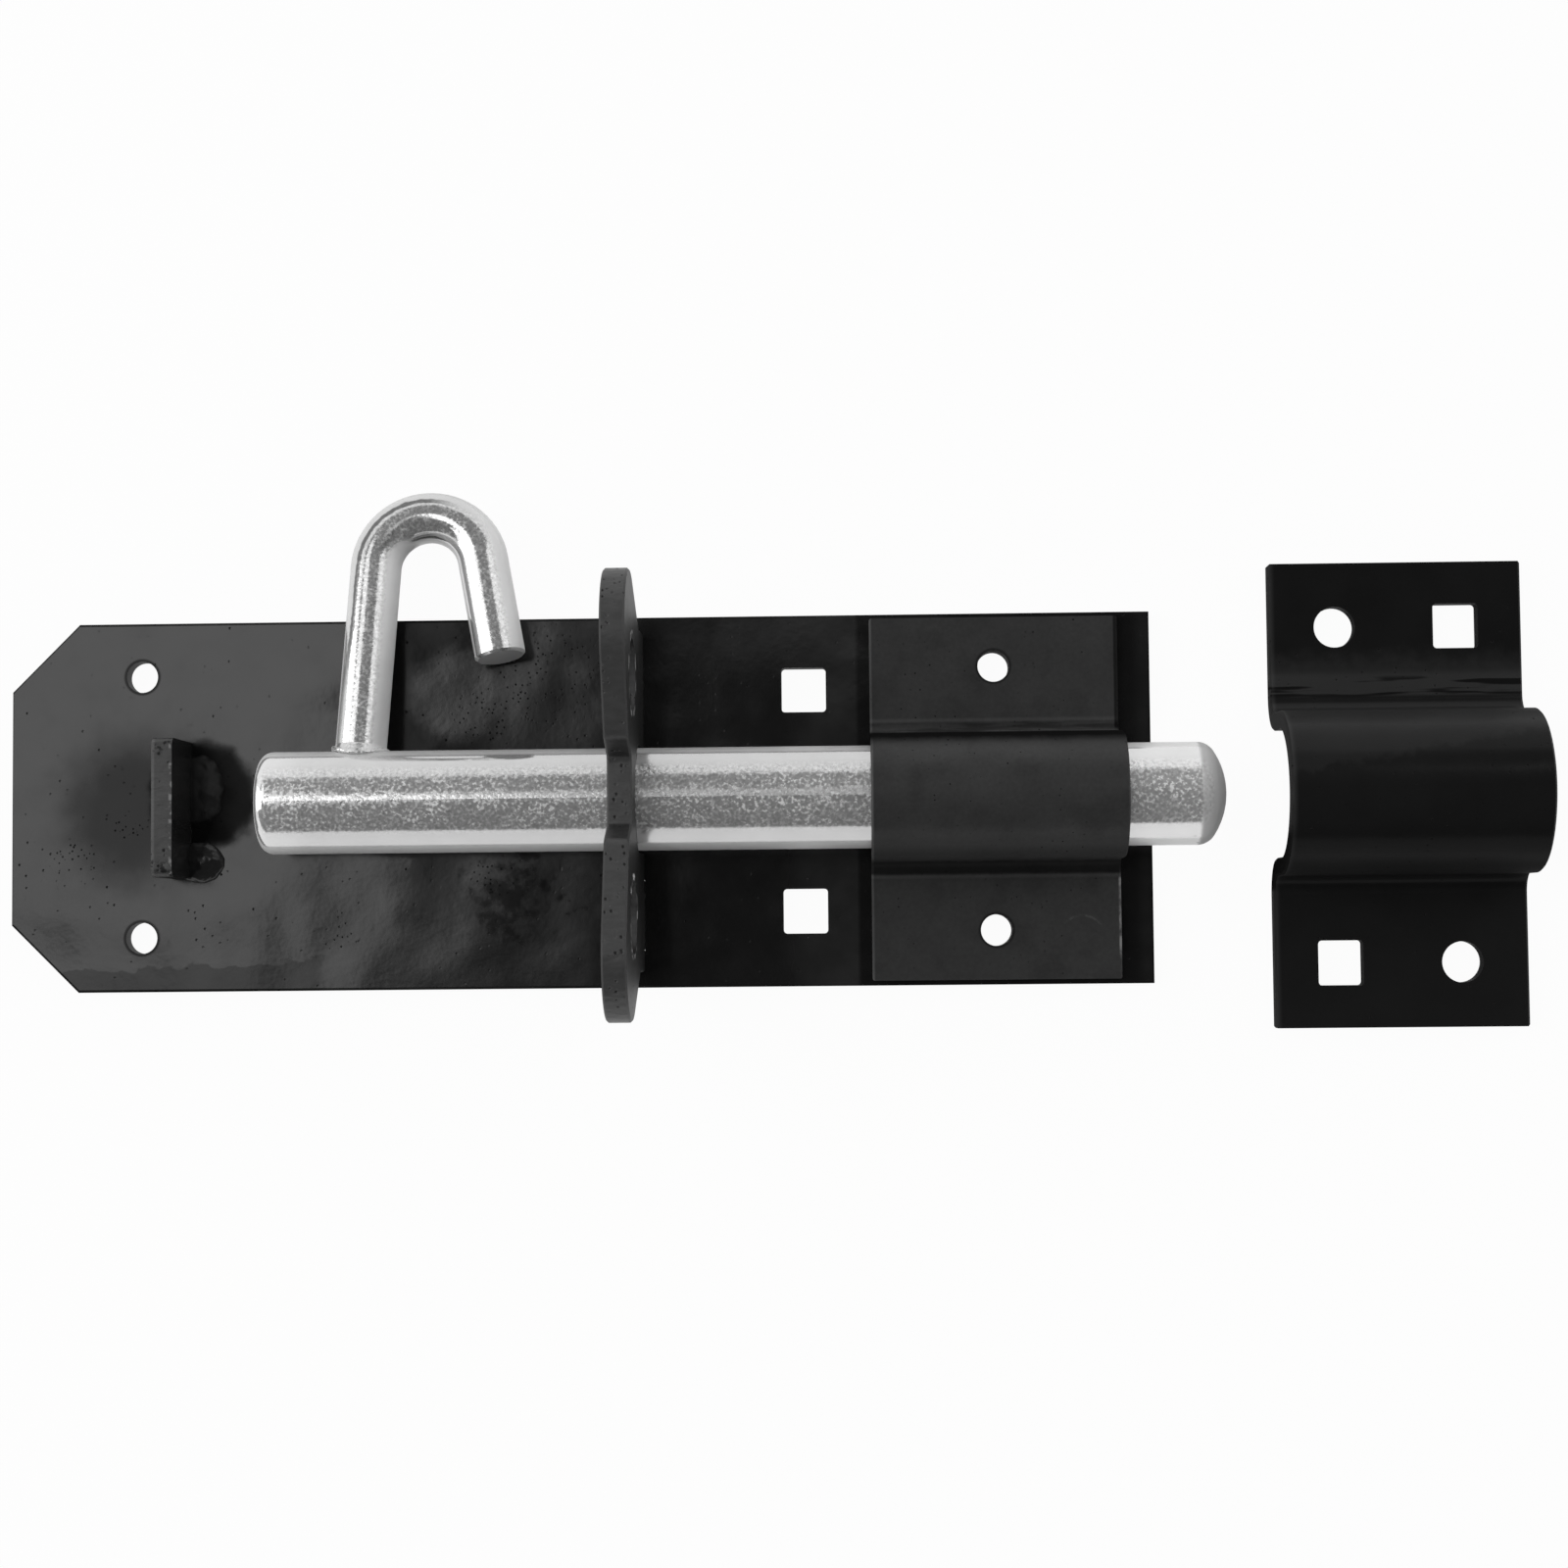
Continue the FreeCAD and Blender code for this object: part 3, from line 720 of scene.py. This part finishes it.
# Studio: a surround that is white to the lens, but in the paint and the zinc is bright only near
# the horizon and dim overhead, and seven soft boxes that stand clear of the lens. The near left
# one is what the tail of the plate and the bar mirror.
horizon_light = 0.95
ceiling_light = 0.06
far_ceiling_light = 0.18
near_edge = 0.315
far_edge = 0.54
near_lift = 0.05
world = bpy.data.worlds.new("studio")
bpy.context.scene.world = world
world.use_nodes = True
sky = Graph(world.node_tree)
outlook = sky.node("ShaderNodeTexCoord", {}, {}, "Generated")
sideways = sky.part(outlook, "Y")
overhead = (sky.ramp(sideways, 0.12, 0.4, ceiling_light, far_ceiling_light)
            + sky.ramp(sideways, 0.04, 0.0, 0.0, near_lift))
above = sky.part(outlook, "Z") - sky.ramp(sideways, -0.15, 0.15, near_edge, far_edge)
surround = sky.ramp(above, -0.02, 0.04, horizon_light, overhead)
to_lens = sky.node("ShaderNodeLightPath", {}, {}, "Is Camera Ray")
background = world.node_tree.nodes["Background"]
sky.join((1, 1, 1, 1), background.inputs["Color"])
sky.join(surround + to_lens * (1 - surround), background.inputs["Strength"])


def soft_box(name, place, aim, width, height, brightness):
    """Rectangular lamp at a place in metres that faces the aim; brightness is its radiance."""
    lamp = bpy.data.lights.new(name, "AREA")
    lamp.shape = "RECTANGLE"
    lamp.size = width
    lamp.size_y = height
    lamp.energy = brightness * width * height * math.pi
    box = bpy.data.objects.new(name, lamp)
    box.location = place
    box.rotation_euler = (Vector(aim) - Vector(place)).to_track_quat("-Z", "Y").to_euler()
    box.visible_camera = False
    bpy.context.scene.collection.objects.link(box)


centre = (0.0, 0.0, 0.0)
soft_box("middle_box", (-0.16, 0.13, 1.0), (-0.16, 0.13, 0.0), 0.12, 0.36, 0.42)
soft_box("streak_box", (-0.05, 0.23, 1.0), (-0.05, 0.23, 0.0), 0.34, 0.18, 0.45)
soft_box("near_left_box", (-0.41, 0.12, 1.0), (-0.06, 0.0, 0.0), 0.38, 0.46, 2.0)
soft_box("upper_left_box", (-0.66, 0.46, 0.92), (-0.03, 0.0, 0.0), 0.5, 0.34, 1.25)
soft_box("far_left_box", (-1.05, 0.10, 0.62), centre, 0.75, 1.1, 2.25)
soft_box("right_box", (0.75, 0.55, 0.95), centre, 0.6, 0.6, 1.1)
soft_box("low_right_box", (1.3, 0.35, 0.26), centre, 1.2, 0.44, 1.2)

# Camera: it hangs above the bolt and looks almost straight down, a little turned and off centre,
# as the photograph's perspective shows.
lens = 62.92
sensor = 36.0
camera_place = (44.34, -20.60, 438.07)
camera_turn = (3.04, 1.555, -0.554)
camera_data = bpy.data.cameras.new("camera")
camera_data.sensor_width = sensor
camera_data.lens = lens
camera = bpy.data.objects.new("camera", camera_data)
camera.location = Vector(camera_place) * MM
camera.rotation_euler = [math.radians(angle) for angle in camera_turn]
bpy.context.scene.collection.objects.link(camera)
bpy.context.scene.camera = camera
bpy.context.scene.view_settings.view_transform = "Standard"
